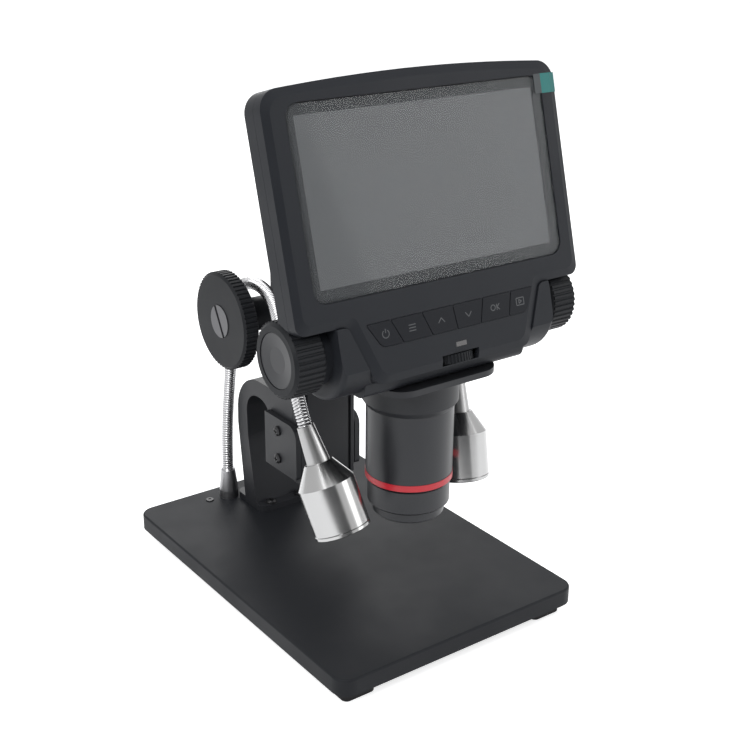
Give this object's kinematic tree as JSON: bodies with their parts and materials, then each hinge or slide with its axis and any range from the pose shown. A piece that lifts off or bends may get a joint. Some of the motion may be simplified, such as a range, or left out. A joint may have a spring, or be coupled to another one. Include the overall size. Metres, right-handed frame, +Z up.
{
  "type": "lcd digital microscope",
  "caption": "Desktop digital microscope: tilted screen head on a rack-driven slide over a flat base, with two gooseneck lamps.",
  "frame": {"origin": "middle of the base, on the table the rubber feet stand on", "axes": "+Z up, +X to the user's right, the user sits on the -Y side and faces the screen"},
  "size_m": [0.136, 0.1712, 0.2327],
  "materials": {
    "base": "fine satin black paint",
    "rubber": "matt moulded rubber",
    "black_plastic": "matt moulding",
    "black_metal": "satin black coating",
    "black_screw": "black finish",
    "knob_plastic": "fine matt moulding",
    "satin_metal": "satin, finely brushed",
    "steel": "ground steel",
    "brass": "cut teeth, dull",
    "shell_plastic": "fine spark-eroded texture",
    "smoked": "dark translucent gloss",
    "smoked_glass": "slightly smoked cover glass",
    "lcd": "display panel, off",
    "clear_film": "thin clear film",
    "tab": "coloured tape",
    "board": "solder mask",
    "button": "fine matt key",
    "cap_plastic": "semi-gloss disc",
    "anodised": "black anodised, turned",
    "red_ring": "satin red",
    "lens_glass": "coated optical glass",
    "socket_metal": "black turned collar",
    "hose_metal": "ribbed bright metal",
    "lamp_satin": "satin turned",
    "lamp_chrome": "turned and polished",
    "led_board": "white board",
    "lamp_glass": "clear moulded lens"
  },
  "bodies": {
    "stand": {"base_plate": "base", "rubber_feet": "rubber", "power_inlet": "black_plastic", "bracket": "black_metal", "stand_screws": "black_screw", "clamp_cheeks": "black_metal", "guide_post": "black_metal", "post_cap": "black_plastic", "lamp_sockets": "socket_metal", "gooseneck_left": "hose_metal", "gooseneck_right": "hose_metal"},
    "height_drive": {"height_wheel": "knob_plastic", "wheel_cap": "satin_metal", "height_shaft": "steel"},
    "head": {"slide_rail": "black_metal", "height_rack": "brass", "head_arm": "black_metal", "front_shell": "shell_plastic", "rear_shell": "shell_plastic", "indicator_window": "smoked", "rear_screws": "black_screw", "screen_glass": "smoked_glass", "lcd_panel": "lcd", "screen_film": "clear_film", "film_tab": "tab", "main_board": "board", "switch_board": "board", "port_board": "board", "tube_flange": "black_metal", "tube_collar": "black_metal", "lens_tube": "anodised", "accent_ring": "red_ring", "tube_nose": "anodised", "end_ring": "anodised", "front_glass": "lens_glass"},
    "focus_drive": {"focus_shaft": "steel", "focus_knob_left": "knob_plastic", "focus_knob_right": "knob_plastic", "knob_caps": "cap_plastic"},
    "lens_carriage": {"lens_barrel": "anodised", "focus_rack": "brass", "lens_elements": "lens_glass", "sensor_board": "board"},
    "brightness": {"brightness_dial": "knob_plastic"},
    "lamp_left": {"lamp_neck_left": "lamp_satin", "lamp_shade_left": "lamp_chrome", "lamp_board_left": "led_board", "lamp_lens_left": "lamp_glass"},
    "lamp_right": {"lamp_neck_right": "lamp_satin", "lamp_shade_right": "lamp_chrome", "lamp_board_right": "led_board", "lamp_lens_right": "lamp_glass"},
    "key_1": {"button_1": "button"},
    "key_2": {"button_2": "button"},
    "key_3": {"button_3": "button"},
    "key_4": {"button_4": "button"},
    "key_5": {"button_5": "button"},
    "key_6": {"button_6": "button"}
  },
  "joints": [
    {"name": "height_slide", "type": "slide", "parent": "stand", "child": "head", "axis": [0, 0, 1], "range_m": [0, 0.06]},
    {"name": "wheel_spin", "type": "hinge", "parent": "stand", "child": "height_drive", "pos_m": [0, 0.0257, 0.1233], "axis": [1, 0, 0], "range_deg": [-573.2, 0]},
    {"name": "focus_turn", "type": "hinge", "parent": "head", "child": "focus_drive", "pos_m": [0, -0.0535, 0.1356], "axis": [1, 0, 0], "range_deg": [-95, 95]},
    {"name": "barrel_slide", "type": "slide", "parent": "head", "child": "lens_carriage", "axis": [0, 0, 1], "range_m": [-0.0049, 0.0049]},
    {"name": "brightness_turn", "type": "hinge", "parent": "head", "child": "brightness", "pos_m": [0.002, -0.06535, 0.12588], "axis": [0, 0.2656, 0.9641], "range_deg": [-135, 135]},
    {"name": "key_1_press", "type": "slide", "parent": "head", "child": "key_1", "axis": [0, 0.9641, -0.2656], "range_m": [0, 0.0005], "stiffness_N_per_m": 500},
    {"name": "key_2_press", "type": "slide", "parent": "head", "child": "key_2", "axis": [0, 0.9641, -0.2656], "range_m": [0, 0.0005], "stiffness_N_per_m": 500},
    {"name": "key_3_press", "type": "slide", "parent": "head", "child": "key_3", "axis": [0, 0.9641, -0.2656], "range_m": [0, 0.0005], "stiffness_N_per_m": 500},
    {"name": "key_4_press", "type": "slide", "parent": "head", "child": "key_4", "axis": [0, 0.9641, -0.2656], "range_m": [0, 0.0005], "stiffness_N_per_m": 500},
    {"name": "key_5_press", "type": "slide", "parent": "head", "child": "key_5", "axis": [0, 0.9641, -0.2656], "range_m": [0, 0.0005], "stiffness_N_per_m": 500},
    {"name": "key_6_press", "type": "slide", "parent": "head", "child": "key_6", "axis": [0, 0.9641, -0.2656], "range_m": [0, 0.0005], "stiffness_N_per_m": 500},
    {"name": "lamp_tilt_left", "type": "hinge", "parent": "stand", "child": "lamp_left", "pos_m": [-0.0468, -0.0399, 0.0999], "axis": [1, 0, 0], "range_deg": [-20, 20]},
    {"name": "lamp_tilt_right", "type": "hinge", "parent": "stand", "child": "lamp_right", "pos_m": [0.036, -0.0312, 0.0984], "axis": [1, 0, 0], "range_deg": [-20, 20]}
  ],
  "couplings": [
    {"joint": "wheel_spin", "follows": "height_slide", "rad_per_m": -166.67},
    {"joint": "focus_turn", "follows": "barrel_slide", "rad_per_m": 333.33}
  ]
}
